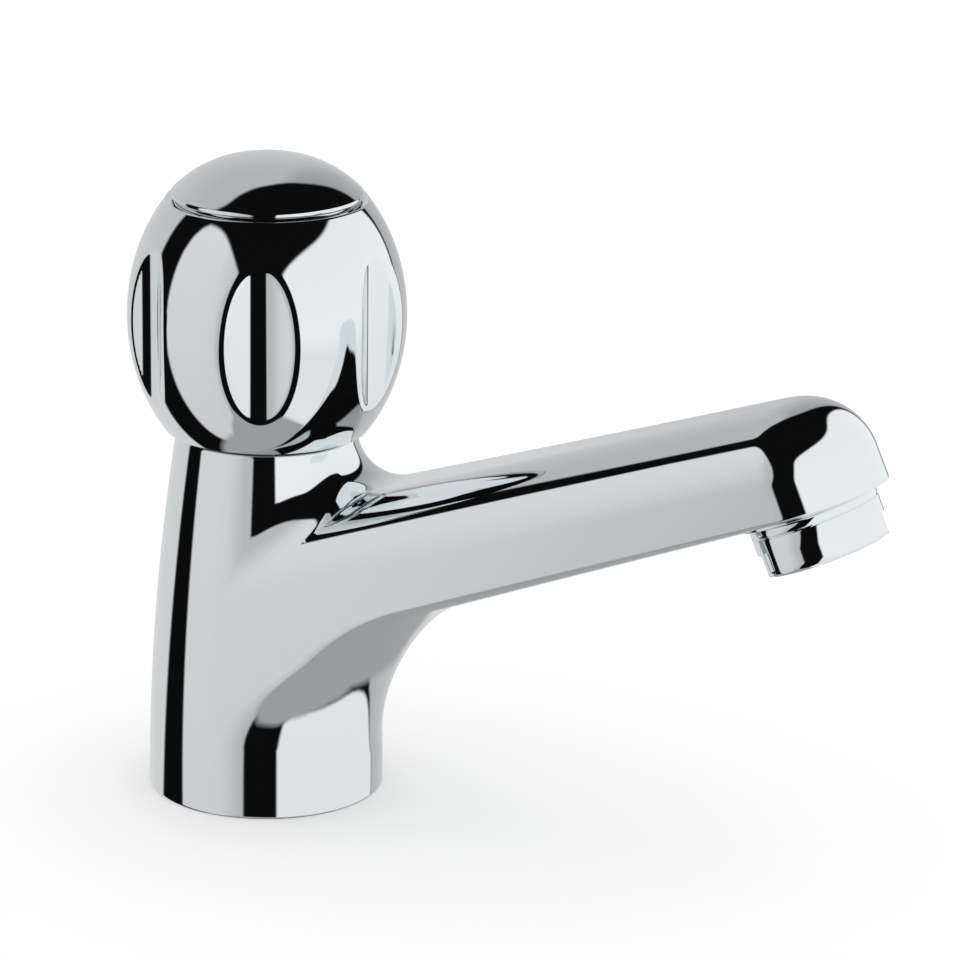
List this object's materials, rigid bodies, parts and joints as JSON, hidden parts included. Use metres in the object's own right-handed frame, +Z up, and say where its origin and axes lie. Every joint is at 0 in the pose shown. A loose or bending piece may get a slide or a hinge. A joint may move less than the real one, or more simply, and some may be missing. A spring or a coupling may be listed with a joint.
{
  "type": "basin tap",
  "caption": "Single pillar basin tap with a long rising spout, a fluted barrel knob over a rising-washer valve, a slanted aerator and a threaded shank with its fixings.",
  "frame": {"origin": "middle of the base at deck level, on the axis of the column, the shank and its bore", "axes": "+Z up the column, +X along the spout, the shank's bore leaves along -Z"},
  "size_m": [0.1618, 0.0562, 0.1819],
  "materials": {
    "chrome": "polished bright chrome plating",
    "brass": "machined brass",
    "steel": "stainless steel",
    "rubber": "black rubber",
    "plastic": "moulded white plastic"
  },
  "bodies": {
    "tap_body": {"body_casting": "chrome", "aerator_housing": "chrome", "headwork_body": "brass", "inlet_shank": "brass", "backnut": "brass", "deck_washer_metal": "steel", "aerator_screen": "steel", "base_gasket": "rubber", "shank_seal": "rubber", "deck_washer_rubber": "rubber", "headwork_seal": "rubber", "aerator_gasket": "rubber", "thrust_washer": "plastic", "aerator_insert": "plastic"},
    "knob": {"handle_shell": "chrome", "handle_cap": "chrome", "handle_screw": "steel", "screw_washer": "steel", "handle_insert": "brass", "spindle": "brass", "spindle_o_rings": "rubber", "spindle_circlip": "steel"},
    "valve": {"valve_carrier": "brass", "valve_washer": "rubber", "washer_screw": "brass"}
  },
  "joints": [
    {"name": "knob_turn", "type": "hinge", "parent": "tap_body", "child": "knob", "pos_m": [0, 0, 0.1], "axis": [0, 0, 1], "range_deg": [0, 540]},
    {"name": "valve_lift", "type": "slide", "parent": "tap_body", "child": "valve", "axis": [0, 0, 1], "range_m": [0, 0.003]}
  ],
  "couplings": [
    {"joint": "valve_lift", "follows": "knob_turn", "m_per_rad": 0.0003183}
  ]
}
